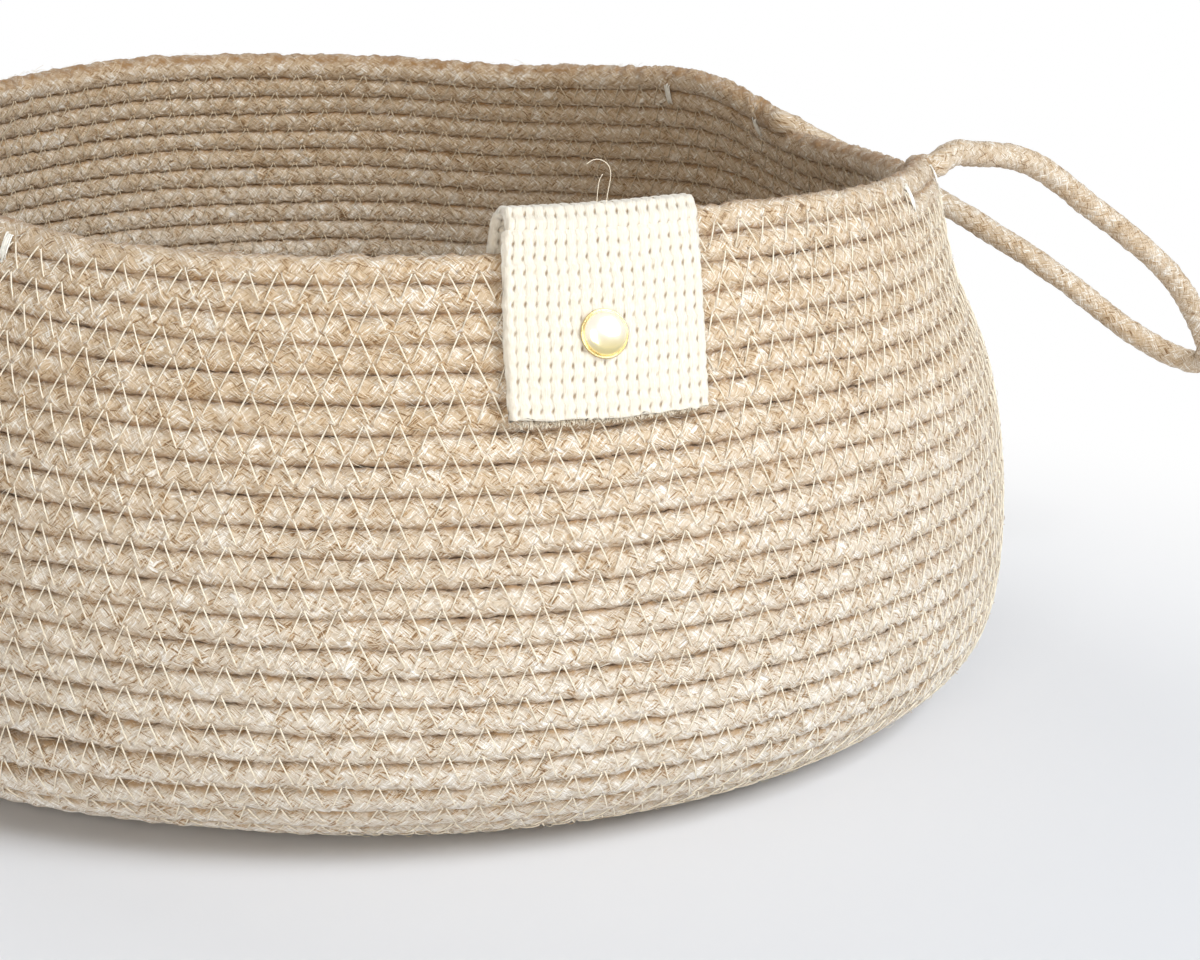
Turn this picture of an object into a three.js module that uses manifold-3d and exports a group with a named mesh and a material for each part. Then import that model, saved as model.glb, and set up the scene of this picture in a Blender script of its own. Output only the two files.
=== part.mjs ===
// A storage basket coiled from one length of braided rope, with a loop handle on each side
// and a folded webbing tab riveted over the rim at the front.
// Millimetres, +Z up. The front, with the tab, is at -Y and the handles are at +X and -X.
// The rope starts in the middle of the base, runs clockwise seen from above, climbs one row a turn
// up the wall, leaves the rim once on each side as a handle, and ends under the tab.

import * as THREE from 'three';
import { mergeVertices } from 'three/addons/utils/BufferGeometryUtils.js';
import Module from 'manifold-3d';

// Rope and rows.
const rowPitch = 5.3;             // from one row of rope to the next, along the wall
const ropeThickness = 5.2;        // across the wall
const ropeWidth = 4.35;           // along the wall, so that neighbouring rows stay apart
const handleRopeDiameter = 5;
const stepsPerTurn = 24;

// The line that the middle of the rope follows, from the base to the rim.
const flatRadius = 98;            // where the base starts to turn up
const bellyRadius = 130.8;        // at the widest place, near the floor
const bellyHeight = 31.4;
const rimRadius = 110;
const rimHeight = 106.6;          // where the last turn starts, left of the tab
const cornerPower = 2.5;          // 2 gives an elliptical corner, more gives a fuller one
const wallLoops = 23;             // turns of rope in the wall, up to where the last turn starts
const cornerSteps = 60;
const wallSteps = 60;

// The rope in the wall is divided at the back, after these many rows, where the wall's slope changes.
const footRows = 4.5;
const bellyRows = 5;
const middleRows = 8;
const baseValleyShare = 0.75;     // height of the valleys between the base's rows, of the rope's thickness

// The soft wall is no exact round: the rim is longer from front to back, sags at the handles
// and strays a little up and down between them. Shares every 15 degrees from the front, towards +X.
const rimStretch = 4;             // how much farther out the rim lies at the front and the back
const rimStray = 4.5;
const rimStrayShares = [
  0.11, 0.33, 0.13, -0.2, -0.38, -0.71, -0.98, -1, 0.33, 0.07, -0.27, 0.02,
  0.16, 0.36, 0.22, -0.02, -0.31, -0.71, -0.98, -0.89, -0.09, -0.27, -0.24, -0.02,
];

// Handles: their middles lie a little clockwise, seen from above, from the X axis. Where their rope
// is tacked to the rim and where it leaves it is measured from these middles.
const rightHandleTurn = THREE.MathUtils.degToRad(4);
const leftHandleTurn = THREE.MathUtils.degToRad(2.2);
const tackAngle = THREE.MathUtils.degToRad(39);
const leaveAngle = THREE.MathUtils.degToRad(21.5);
const handleReach = 102;          // out from the rim
const handleDrop = 59;            // down from the loop's ends
const handleSeatRise = 1;         // the loop's ends sit this much higher than the row line
const handleSides = 8;
const handleSteps = 44;
const handleLengthSteps = 600;
const handleEndShares = [[0.92, 0.4], [0.7, 0.71]];   // rings of its rounded ends: back, wide, of its radius

// The loop from its front end round to its back end, as it droops at rest: out, along its hinge line, up.
// Shares of the reach, of half the distance between the ends, and of the drop.
const handleRouteShares = [
  [0, -1, 0],
  [0.026, -0.926, 0.014],
  [0.063, -0.863, 0.014],
  [0.11, -0.781, 0],
  [0.185, -0.685, -0.005],
  [0.341, -0.537, -0.047],
  [0.552, -0.354, -0.254],
  [0.765, -0.214, -0.503],
  [0.928, -0.039, -0.781],
  [0.997, 0.154, -0.992],
  [0.906, 0.437, -0.942],
  [0.748, 0.598, -0.738],
  [0.527, 0.677, -0.487],
  [0.352, 0.746, -0.314],
  [0.216, 0.837, -0.185],
  [0.138, 0.911, -0.112],
  [0.088, 0.968, -0.051],
  [0.043, 1.001, 0.001],
  [0, 1, 0],
];

// Tab: a webbing strip folded over the rim.
const tabWidth = 37;
const webbingThickness = 2.2;
const tabLegLength = 33;          // below the middle of the rope's end row, on each side
const tabFoldRise = 6.1;          // from the middle of the rope's end row to the middle of the fold
const ropeEndPastTab = THREE.MathUtils.degToRad(4);
const tabLegSteps = 6;
const tabFoldSteps = 8;
const tabWidthSteps = 4;

// Rivet, a stud and a cap pressed together through the tab and the wall.
const rivetRows = 2.8;            // below the row that starts the last turn
const rivetHeadDiameter = 9;
const rivetHeadHeight = 2.5;
const rivetSkirtHeight = 0.9;
const rivetSocketDepth = 1.2;
const rivetPostDiameter = 3;
const rivetSides = 24;
const postSides = 12;
const rivetSkirtShares = [[0.93, 0], [1, 0.3], [1, 0.7], [0.93, 1]];   // of the head's radius, of the skirt's height
const rivetDomeShares = [0.82, 0.62, 0.36];                            // of the head's radius

// Bar tacks, short bars of thread over the seam under the last turn, outside.
const tackWidth = 1.6;
const tackThickness = 0.8;

const clearance = 0.3;

const turn = 2 * Math.PI;
const halfRope = ropeThickness / 2;
const cornerRise = bellyHeight - halfRope;
const cornerReach = bellyRadius - flatRadius;
const wallRise = rimHeight - bellyHeight;
const wallDraw = bellyRadius - rimRadius;

// Points of the rope's middle line from the start of the corner to one row above the rim.
function makeWallLine() {
  const line = [];
  for (let i = 0; i <= cornerSteps; i++) {
    const angle = (i / cornerSteps) * turn / 4;
    const out = Math.sin(angle) ** (2 / cornerPower);
    const down = Math.cos(angle) ** (2 / cornerPower);
    line.push(new THREE.Vector2(flatRadius + cornerReach * out, bellyHeight - cornerRise * down));
  }
  const overrun = (rimHeight + 2 * rowPitch - bellyHeight) / wallRise;
  for (let i = 1; i <= wallSteps; i++) {
    const share = (i / wallSteps) * overrun;
    line.push(new THREE.Vector2(bellyRadius - wallDraw * share ** 2, bellyHeight + wallRise * share));
  }
  return line;
}

const wallLine = makeWallLine();
const wallLengths = [0];
for (let i = 1; i < wallLine.length; i++) {
  wallLengths.push(wallLengths[i - 1] + wallLine[i].distanceTo(wallLine[i - 1]));
}

// Distance along the middle line, from the centre of the base, to the given height on the wall.
function lengthToHeight(height) {
  const i = wallLine.findIndex((point) => point.y >= height);
  const share = (height - wallLine[i - 1].y) / (wallLine[i].y - wallLine[i - 1].y);
  return flatRadius + THREE.MathUtils.lerp(wallLengths[i - 1], wallLengths[i], share);
}

const rimLength = lengthToHeight(rimHeight);
const baseEdgeLength = rimLength - wallLoops * rowPitch;
const baseLoops = Math.floor(baseEdgeLength / rowPitch);

// Radius, height and upward direction of the middle line at a distance from the centre of the base.
function lineAt(length) {
  const along = length - flatRadius;
  if (along <= 0) return { radius: length, height: halfRope, direction: new THREE.Vector2(1, 0) };
  let i = wallLengths.findIndex((value) => value >= along);
  if (i < 1) i = wallLine.length - 1;
  const share = (along - wallLengths[i - 1]) / (wallLengths[i] - wallLengths[i - 1]);
  const point = wallLine[i - 1].clone().lerp(wallLine[i], share);
  const direction = wallLine[i].clone().sub(wallLine[i - 1]).normalize();
  return { radius: point.x, height: point.y, direction };
}

// How far the rim strays from its even height at an angle from the front, -Y, towards +X.
function strayAt(angle) {
  const count = rimStrayShares.length;
  const place = (angle / turn) * count;
  const first = Math.floor(place);
  const shareAt = (i) => rimStrayShares[((i % count) + count) % count];
  return rimStray * THREE.MathUtils.lerp(shareAt(first), shareAt(first + 1), place - first);
}

// Where a point of the even, round wall lies on the real one, `turns` turns round from the front.
function onWall(turns, radius, height) {
  const angle = -turn * turns;
  const rise = height / rimHeight;
  const r = radius + rimStretch * Math.cos(angle) ** 2 * rise ** 2;
  return new THREE.Vector3(r * Math.sin(angle), -r * Math.cos(angle), height + strayAt(angle) * rise);
}

// A place on the wall: the middle of the rope at `turns` turns from the start of the last one,
// moved `out` across the wall and `up` along it.
function ropePlace(turns, out = 0, up = 0) {
  const { radius, height, direction } = lineAt(rimLength + rowPitch * turns);
  const r = radius + out * direction.y + up * direction.x;
  const z = height - out * direction.x + up * direction.y;
  return onWall(turns, r, z);
}

// The rope's turns are flat between their steps: a place on such a flat side.
function betweenSteps(turns, place) {
  const step = Math.floor(turns * stepsPerTurn);
  return place(step / stepsPerTurn).lerp(place((step + 1) / stepsPerTurn), turns * stepsPerTurn - step);
}

function flatPlace(turns, out = 0, up = 0) {
  return betweenSteps(turns, (at) => ropePlace(at, out, up));
}

// The rope in the wall is a six-sided bar with a ridge outside and inside.
const ropeSectionShares = [[1, 0], [0.5, 1], [-0.5, 1], [-1, 0], [-0.5, -1], [0.5, -1]];

function ropeRing(turns) {
  return ropeSectionShares.map(([out, up]) => flatPlace(turns, out * halfRope, up * ropeWidth / 2));
}

// A closed body through rings of points, each ring with as many points, capped at both ends.
function loft(rings, capTriangles) {
  const count = rings[0].length;
  const positions = rings.flat().flatMap((point) => [point.x, point.y, point.z]);
  const faces = [];
  for (let ring = 0; ring < rings.length - 1; ring++) {
    for (let i = 0; i < count; i++) {
      const a = ring * count + i;
      const b = ring * count + (i + 1) % count;
      faces.push(a, b, b + count, a, b + count, a + count);
    }
  }
  const last = (rings.length - 1) * count;
  for (const [a, b, c] of capTriangles) {
    faces.push(a, c, b);
    faces.push(last + a, last + b, last + c);
  }
  return closedGeometry(positions, faces);
}

// Faces point out of the body: where the enclosed volume comes out negative, all of them are turned.
function closedGeometry(positions, faces) {
  const at = (i) => new THREE.Vector3().fromArray(positions, 3 * i);
  let volume = 0;
  for (let i = 0; i < faces.length; i += 3) {
    volume += at(faces[i]).dot(at(faces[i + 1]).cross(at(faces[i + 2])));
  }
  if (volume < 0) faces.reverse();
  const geometry = new THREE.BufferGeometry();
  geometry.setAttribute('position', new THREE.Float32BufferAttribute(positions, 3));
  geometry.setIndex(faces);
  return geometry;
}

function fan(count) {
  return Array.from({ length: count - 2 }, (_, i) => [0, i + 1, i + 2]);
}

// Rope laid along the wall, between two places counted in turns. Steps too near to an end are left out.
function ropeStretch(from, to) {
  const nearestShare = 0.25;
  const places = [from];
  const first = Math.ceil(from * stepsPerTurn + nearestShare);
  for (let step = first; step < to * stepsPerTurn - nearestShare; step++) places.push(step / stepsPerTurn);
  places.push(to);
  return loft(places.map(ropeRing), fan(ropeSectionShares.length));
}

// Half of the gap between two lengths of the wall's rope, and the gap at the edge of the base, in turns.
const wallGap = clearance / (turn * bellyRadius);
const baseGap = 2 * clearance / (turn * baseEdgeLength);

// The base is the flat spiral: a disc with a ridge for each row, flat underneath,
// whose edge is the last base row, so it has one step where the wall's rope begins.
function makeBase() {
  const lastStep = baseLoops * stepsPerTurn;
  const edge = lastStep + stepsPerTurn;
  const valleyHeight = ropeThickness * baseValleyShare;
  const spiralPoint = (step, shift, height) => {
    const angle = -turn * step / stepsPerTurn;
    const radius = baseEdgeLength + rowPitch * (step / stepsPerTurn - baseLoops) + shift;
    return [radius * Math.sin(angle), -radius * Math.cos(angle), height];
  };
  const positions = [];
  const add = (point) => positions.push(...point) / 3 - 1;
  const valleys = [];
  const crests = [];
  const feet = [];
  for (let step = 0; step <= edge; step++) {
    const shift = step >= lastStep ? ropeWidth / 2 - rowPitch : -rowPitch / 2;
    valleys.push(add(spiralPoint(step, shift, valleyHeight)));
    if (step <= lastStep) crests.push(add(spiralPoint(step, 0, ropeThickness)));
    if (step >= lastStep) feet.push(add(spiralPoint(step, shift, 0)));
  }
  const centre = add([0, 0, ropeThickness]);
  const faces = [];
  for (let step = 0; step < lastStep; step++) {
    const outer = step + stepsPerTurn;
    faces.push(valleys[step], crests[step + 1], valleys[step + 1], valleys[step], crests[step], crests[step + 1]);
    faces.push(crests[step], valleys[outer + 1], crests[step + 1], crests[step], valleys[outer], valleys[outer + 1]);
  }
  for (let step = 0; step < stepsPerTurn; step++) {
    faces.push(centre, valleys[step], valleys[step + 1]);
    const foot = step;
    faces.push(valleys[lastStep + step], feet[foot + 1], valleys[lastStep + step + 1]);
    faces.push(valleys[lastStep + step], feet[foot], feet[foot + 1]);
  }
  for (let foot = 1; foot < stepsPerTurn; foot++) faces.push(feet[0], feet[foot + 1], feet[foot]);
  faces.push(centre, valleys[stepsPerTurn], valleys[0]);
  faces.push(valleys[0], valleys[stepsPerTurn], crests[0]);
  faces.push(valleys[lastStep], crests[lastStep], valleys[edge]);
  faces.push(valleys[lastStep], valleys[edge], feet[stepsPerTurn]);
  faces.push(valleys[lastStep], feet[stepsPerTurn], feet[0]);
  return closedGeometry(positions, faces);
}

// Handle loop: a round rope on a smooth route, with a ball at each end on the line it swings about.
const leftMiddle = turnsOf(-turn / 4 - leftHandleTurn);
const rightMiddle = turnsOf(turn / 4 - rightHandleTurn);

// Turns round from the front, along the rope, of an angle from the front, -Y, towards +X.
function turnsOf(angle) {
  return (1 - angle / turn) % 1;
}

function handleSeat(middle, side) {
  const seat = flatPlace(middle + side * leaveAngle / turn);
  return seat.setZ(seat.z + handleSeatRise);
}

function hingeMiddle(middle) {
  return handleSeat(middle, 1).add(handleSeat(middle, -1)).multiplyScalar(0.5);
}

const hinge = hingeMiddle(rightMiddle);
const halfSpan = handleSeat(rightMiddle, -1).sub(hinge);
const outward = new THREE.Vector3(halfSpan.y, -halfSpan.x, 0).normalize();

function makeHandle() {
  const points = handleRouteShares.map(([out, along, up]) => hinge.clone()
    .addScaledVector(outward, out * handleReach)
    .addScaledVector(halfSpan, along)
    .add(new THREE.Vector3(0, 0, up * handleDrop)));
  const route = new THREE.CatmullRomCurve3(points, false, 'centripetal');
  route.arcLengthDivisions = handleLengthSteps;
  const frames = route.computeFrenetFrames(handleSteps, false);
  const ringAt = (i, shift, radius) => {
    const middle = route.getPointAt(i / handleSteps).addScaledVector(frames.tangents[i], shift);
    return Array.from({ length: handleSides }, (_, side) => {
      const angle = turn * side / handleSides;
      return middle.clone()
        .addScaledVector(frames.normals[i], radius * Math.cos(angle))
        .addScaledVector(frames.binormals[i], radius * Math.sin(angle));
    });
  };
  const radius = handleRopeDiameter / 2;
  const rings = handleEndShares.map(([back, wide]) => ringAt(0, -back * radius, wide * radius));
  for (let i = 0; i <= handleSteps; i++) rings.push(ringAt(i, 0, radius));
  for (const [back, wide] of handleEndShares.toReversed()) {
    rings.push(ringAt(handleSteps, back * radius, wide * radius));
  }
  return { geometry: loft(rings, fan(handleSides)), length: route.getLength() };
}

// Tab: the webbing's section, a long hairpin in the plane of the wall's middle line, swept across the front.
function makeTab() {
  const legOffset = halfRope + clearance + webbingThickness / 2;
  const endRow = lineAt(rimLength + rowPitch);
  const middle = [];
  const addLeg = (side, share) => {
    const { radius, height, direction } = lineAt(rimLength + rowPitch - tabLegLength * share);
    middle.push(new THREE.Vector2(
      radius + side * legOffset * direction.y,
      height - side * legOffset * direction.x,
    ));
  };
  for (let i = tabLegSteps; i >= 0; i--) addLeg(1, i / tabLegSteps);
  for (let i = 1; i < tabFoldSteps; i++) {
    const angle = (i / tabFoldSteps) * turn / 2;
    middle.push(new THREE.Vector2(
      endRow.radius + legOffset * Math.cos(angle),
      endRow.height + tabFoldRise * Math.sin(angle),
    ));
  }
  for (let i = 0; i <= tabLegSteps; i++) addLeg(-1, i / tabLegSteps);
  const half = webbingThickness / 2;
  const sideOf = (sign) => middle.map((point, i) => {
    const along = middle[Math.min(i + 1, middle.length - 1)].clone().sub(middle[Math.max(i - 1, 0)]).normalize();
    return new THREE.Vector2(point.x + sign * half * along.y, point.y - sign * half * along.x);
  });
  const outline = [...sideOf(1), ...sideOf(-1).reverse()];
  const rings = [];
  for (let i = 0; i <= tabWidthSteps; i++) {
    rings.push(outline.map((point) => betweenSteps(
      (i / tabWidthSteps - 0.5) * tabWidth / (turn * point.x),
      (at) => onWall(at, point.x, point.y),
    )));
  }
  return loft(rings, THREE.ShapeUtils.triangulateShape(outline, []));
}

// The rivet's line: square to the wall, at the front.
// Its inner head sits a little farther off, because the tab bends there with the rope's flat sides.
function frontPlace(rows) {
  const { radius, height } = lineAt(rimLength + rows * rowPitch);
  return onWall(0, radius, height);
}

const rivetMiddle = frontPlace(-rivetRows);
const rivetSlope = frontPlace(1 - rivetRows).sub(frontPlace(-1 - rivetRows)).normalize();
const rivetOut = new THREE.Vector3(0, -rivetSlope.z, rivetSlope.y);
const rivetTurn = new THREE.Quaternion().setFromUnitVectors(new THREE.Vector3(0, 1, 0), rivetOut);
const headSeat = halfRope + clearance + webbingThickness + clearance;
const postRadius = rivetPostDiameter / 2;
const headRadius = rivetHeadDiameter / 2;
const innerHeadSeat = headSeat + headRadius * Math.tan(turn / stepsPerTurn / 2);

// Outline of a domed head from its underside's rim to its top, `base` being its underside.
function headOutline(base) {
  const outline = rivetSkirtShares.map(([wide, high]) => [headRadius * wide, base + rivetSkirtHeight * high]);
  for (const share of rivetDomeShares) {
    const rise = Math.sqrt(1 - share ** 2);
    outline.push([headRadius * share, base + rivetSkirtHeight + (rivetHeadHeight - rivetSkirtHeight) * rise]);
  }
  outline.push([0, base + rivetHeadHeight]);
  return outline;
}

function revolve(outline) {
  return new THREE.LatheGeometry(outline.map(([r, y]) => new THREE.Vector2(r, y)), rivetSides);
}

// The cap outside, with the blind hole that takes the tip of the stud's post.
function makeRivetCap() {
  const hole = postRadius + clearance;
  const top = headSeat + rivetSocketDepth;
  return revolve([[0, top], [hole, top], [hole, headSeat], ...headOutline(headSeat)]);
}

// The stud inside the basket, its head turned in and its post running out into the cap.
function makeRivetStud() {
  const tip = headSeat + rivetSocketDepth - clearance;
  const head = headOutline(innerHeadSeat).reverse().map(([r, y]) => [r, -y]);
  return revolve([...head, [postRadius, -innerHeadSeat], [postRadius, tip], [0, tip]]);
}

function onRivetLine(geometry) {
  return geometry.applyQuaternion(rivetTurn).translate(rivetMiddle.x, rivetMiddle.y, rivetMiddle.z);
}

// Bar tack: a flat bar of thread from the middle of the last row to the middle of the row below it.
function makeTack(turns) {
  const inner = halfRope + clearance;
  const halfTurns = tackWidth / 2 / (turn * rimRadius);
  const rings = [0, -rowPitch].map((up) => {
    const corners = [[-halfTurns, inner], [halfTurns, inner], [halfTurns, inner + tackThickness]];
    corners.push([-halfTurns, inner + tackThickness]);
    return corners.map(([shift, reach]) => flatPlace(turns + shift, reach, up));
  });
  return loft(rings, fan(4));
}

// Cutting with manifold-3d.
const wasm = await Module();
wasm.setup();

function toSolid(geometry) {
  const bare = geometry.clone();
  bare.deleteAttribute('normal');
  bare.deleteAttribute('uv');
  const merged = mergeVertices(bare, clearance / 1000);
  const vertProperties = new Float32Array(merged.attributes.position.array);
  const triVerts = new Uint32Array(merged.index.array);
  return new wasm.Manifold(new wasm.Mesh({ numProp: 3, vertProperties, triVerts }));
}

function cut(geometry, tool) {
  const mesh = toSolid(geometry).subtract(toSolid(tool)).getMesh();
  const result = new THREE.BufferGeometry();
  result.setAttribute('position', new THREE.BufferAttribute(new Float32Array(mesh.vertProperties), 3));
  result.setIndex(new THREE.BufferAttribute(new Uint32Array(mesh.triVerts), 1));
  return result;
}

const ropeFinish = { color: 0xc4ac87, roughness: 0.95, metalness: 0 };
const baseFinish = { color: 0xd2c4a6, roughness: 0.95, metalness: 0 };
const webbingFinish = { color: 0xf6eedd, roughness: 0.9, metalness: 0 };
const threadFinish = { color: 0xf5ecd8, roughness: 0.7, metalness: 0 };
const brassFinish = { color: 0xe0c080, roughness: 0.25, metalness: 1 };

const basket = new THREE.Group();

function addPiece(name, geometry, finish, parent = basket) {
  const mesh = new THREE.Mesh(geometry, new THREE.MeshStandardMaterial(finish));
  mesh.name = name;
  parent.add(mesh);
  return mesh;
}

const postHole = onRivetLine(new THREE.CylinderGeometry(
  postRadius + clearance, postRadius + clearance, 4 * headSeat, postSides,
));

// The last turn runs from 0 to 1, and the rope leaves it at each handle's middle, less or more the leave angle.
const leftOut = leftMiddle - leaveAngle / turn;
const leftBack = leftMiddle + leaveAngle / turn;
const rightOut = rightMiddle - leaveAngle / turn;
const rightBack = rightMiddle + leaveAngle / turn;
const seatGap = (handleRopeDiameter / 2 + clearance) / (turn * rimRadius);
const footEnd = -wallLoops + footRows;
const bellyEnd = footEnd + bellyRows;
const middleEnd = bellyEnd + middleRows;

addPiece('base_coil', makeBase(), baseFinish);
addPiece('wall_coil_foot', ropeStretch(-wallLoops + baseGap, footEnd - wallGap / 2), ropeFinish);
addPiece('wall_coil_belly', ropeStretch(footEnd + wallGap / 2, bellyEnd - wallGap / 2), ropeFinish);
addPiece('wall_coil_middle', ropeStretch(bellyEnd + wallGap / 2, middleEnd - wallGap / 2), ropeFinish);
const topRope = ropeStretch(middleEnd + wallGap / 2, leftOut - seatGap);
addPiece('wall_coil_top', cut(topRope, postHole), ropeFinish);
addPiece('rim_back', ropeStretch(leftBack + seatGap, rightOut - seatGap), ropeFinish);
addPiece('rim_front', ropeStretch(rightBack + seatGap, 1 + ropeEndPastTab / turn), ropeFinish);

const handle = makeHandle();
addPiece('handle_right', handle.geometry, ropeFinish);
const leftSide = new THREE.Group();
leftSide.rotation.z = (rightMiddle - leftMiddle) * turn;
leftSide.position.copy(hingeMiddle(leftMiddle)).sub(hinge.clone().applyEuler(leftSide.rotation));
basket.add(leftSide);
addPiece('handle_left', handle.geometry, ropeFinish, leftSide);

addPiece('front_tab', cut(makeTab(), postHole), webbingFinish);
addPiece('rivet_cap', onRivetLine(makeRivetCap()), brassFinish);
addPiece('rivet_stud', onRivetLine(makeRivetStud()), brassFinish);

// Two tacks hold each leg of each handle: one where it leaves the row, one where it leaves the rim.
const outerTackAngle = leaveAngle + (handleRopeDiameter / 2 + tackWidth) / rimRadius;
for (const [side, middle] of [['left', leftMiddle], ['right', rightMiddle]]) {
  for (const [leg, sign] of [['front', side === 'left' ? -1 : 1], ['back', side === 'left' ? 1 : -1]]) {
    addPiece(`tack_${side}_${leg}_root`, makeTack(middle + sign * tackAngle / turn), threadFinish);
    addPiece(`tack_${side}_${leg}_end`, makeTack(middle + sign * outerTackAngle / turn), threadFinish);
  }
}

// Least distance between neighbouring rows of the wall, taken between points on their sections.
function leastRowGap() {
  let least = Infinity;
  const facingShares = [-1, -0.5, 0, 0.5, 1];
  const sectionPoint = (turns, out, side) => {
    const width = ropeWidth / 2 * Math.min(1, 2 * (1 - Math.abs(out)));
    return ropePlace(turns, out * halfRope, side * width);
  };
  for (let step = -wallLoops * stepsPerTurn; step < (leftOut - 1) * stepsPerTurn; step++) {
    const turns = step / stepsPerTurn;
    for (const a of facingShares) {
      for (const b of facingShares) {
        const gap = sectionPoint(turns, a, 1).distanceTo(sectionPoint(turns + 1, b, -1));
        least = Math.min(least, gap);
      }
    }
  }
  return least;
}

console.log(`rows in the wall: ${wallLoops}, in the base: ${baseLoops}`);
console.log(`handle rope between its seats: ${handle.length.toFixed(1)} mm`);
const places = (vector, digits) => vector.toArray().map((value) => value.toFixed(digits)).join(', ');
const axis = halfSpan.clone().normalize();
const leftAxis = axis.clone().applyEuler(leftSide.rotation);
console.log(`the right handle turns about ${places(hinge, 3)}, along ${places(axis, 5)}`);
console.log(`the left one about ${places(hingeMiddle(leftMiddle), 3)}, along ${places(leftAxis, 5)}`);
console.log(`least gap between rows of the wall: ${leastRowGap().toFixed(2)} mm`);

export default basket;
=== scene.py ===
"""Looks of a coiled rope storage basket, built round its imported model.

Lengths are in millimetres until a mesh is made. Angles round the basket start at the front and grow
towards +X. Turns are counted along the rope: its last turn runs from 0 to 1, both at the front.
"""

import math
from types import SimpleNamespace

import bpy
import numpy as np
from mathutils import Matrix, Vector


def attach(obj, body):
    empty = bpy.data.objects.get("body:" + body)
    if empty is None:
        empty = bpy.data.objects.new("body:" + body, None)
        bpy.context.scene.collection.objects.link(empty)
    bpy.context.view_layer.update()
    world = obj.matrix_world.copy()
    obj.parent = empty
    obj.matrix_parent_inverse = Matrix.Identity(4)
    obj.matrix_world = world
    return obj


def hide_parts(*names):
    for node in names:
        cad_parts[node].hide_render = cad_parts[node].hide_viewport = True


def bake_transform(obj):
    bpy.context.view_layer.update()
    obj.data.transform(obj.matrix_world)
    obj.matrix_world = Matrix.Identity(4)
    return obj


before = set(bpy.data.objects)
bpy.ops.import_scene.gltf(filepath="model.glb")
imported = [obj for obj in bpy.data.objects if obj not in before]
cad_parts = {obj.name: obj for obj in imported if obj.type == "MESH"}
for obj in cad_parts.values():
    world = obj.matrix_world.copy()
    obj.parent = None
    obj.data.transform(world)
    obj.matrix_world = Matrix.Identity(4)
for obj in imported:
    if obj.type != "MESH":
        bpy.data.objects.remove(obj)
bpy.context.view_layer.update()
scene = bpy.context.scene

MM = 0.001
TURN = 2 * math.pi

# The part's own sizes, as its model has them.
ROW_PITCH = 5.3
HALF_ROPE = 2.6
FLAT_RADIUS = 98
BELLY_RADIUS = 130.8
BELLY_HEIGHT = 31.4
RIM_RADIUS = 110
RIM_HEIGHT = 106.6
CORNER_POWER = 2.5
WALL_LOOPS = 23
STEPS_PER_TURN = 24
# The rope starts this share of a turn out from the base's middle.
START_SHARE = 0.45
ROPE_END_TURNS = 4 / 360
# Where the wall's rope is divided, in turns.
FOOT_END = -WALL_LOOPS + 4.5
BELLY_END = FOOT_END + 5
MIDDLE_END = BELLY_END + 8
# The rim is longer from front to back and strays up and down. The shares are 15 degrees apart.
RIM_STRETCH = 4
RIM_STRAY = 4.5
RIM_STRAY_SHARES = np.array([
    0.11, 0.33, 0.13, -0.2, -0.38, -0.71, -0.98, -1, 0.33, 0.07, -0.27, 0.02,
    0.16, 0.36, 0.22, -0.02, -0.31, -0.71, -0.98, -0.89, -0.09, -0.27, -0.24, -0.02,
])
# The handles: their middles in turns, and how far to each side of them the rope leaves the rim and
# the two bar tacks lie.
LEFT, RIGHT = 92.2 / 360, 1 - 86 / 360
HANDLE_ROPE = 5
TACK_WIDTH = 1.6
LEAVE_TURNS = 21.5 / 360
END_TACK_TURNS = LEAVE_TURNS + (HANDLE_ROPE / 2 + TACK_WIDTH) / RIM_RADIUS / TURN
ROOT_TACK_TURNS = 39 / 360
HANDLE_REACH = 102
HANDLE_DROP = 59
HANDLE_SEAT_RISE = 1
# The loop from its front end round to its back end: shares of the reach, of half the distance
# between its ends, and of the drop.
HANDLE_ROUTE = [
    [0.05, -0.985, -0.007], [0.077, -0.942, 0.008], [0.121, -0.858, 0.022], [0.175, -0.762, 0.006],
    [0.341, -0.537, -0.047], [0.552, -0.354, -0.254], [0.765, -0.214, -0.503], [0.928, -0.039, -0.781],
    [0.997, 0.154, -0.992], [0.906, 0.437, -0.942], [0.748, 0.598, -0.738], [0.527, 0.677, -0.487],
    [0.352, 0.746, -0.314], [0.243, 0.8, -0.222], [0.169, 0.842, -0.167], [0.123, 0.866, -0.126],
    [0.08, 0.893, -0.09], [0.048, 0.92, -0.056],
]
TAB_WIDTH = 37
TAB_LEG = 33
TAB_GAP = 0.3
WEBBING_THICK = 2.2

# Sizes that only the scene has, seen in the photograph.
# Swells and dents of the soft wall: an angle in degrees and how far the dent spreads, a height and
# how far it spreads, and how far the rope moves out and up.
DENTS = [
    (66, 16, 112, 10, 2.7, 0),
    (62, 24, 88, 11, -1.9, 0),
    (58, 22, 10, 9, 1.7, 0),
    (-57, 22, 14, 10, 2.2, -3.8),
]
# Height above the lowest row at which the rope fully follows a dent up or down.
FOOT_RISE = 6
# The tab: how far its ends and then its fold lie to the right, the fold's rise, its tilt, and how far
# the fold pulls the left edge in, and over what length.
TAB_SHIFT = 1.8
TAB_FOLD_SHIFT = 2.1
TAB_FOLD_RISE = 4.9
TAB_TILT = 0.03
TAB_PULL, TAB_PULL_LENGTH = 1.7, 15
RIVET_ROWS = 2.5
RIVET_SHIFT = 1.2

# How finely curves are worked out.
CURVE_STEPS = 240
LINE_SPACING = 0.25
SMOOTHING_POINTS = 13
ROWS_PAST_RIM = 3
KNOT_POWER = 0.7
KNOT_STEPS = 60
BASE_SPACING, WALL_SPACING, RIM_SPACING, LOOP_SPACING = 1.3, 0.85, 0.6, 0.45
TAB_SPACING = 0.28
# Random values in each smooth field, and the cell that it starts from.
GRID, FIRST_CELL = 4096, 100


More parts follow.
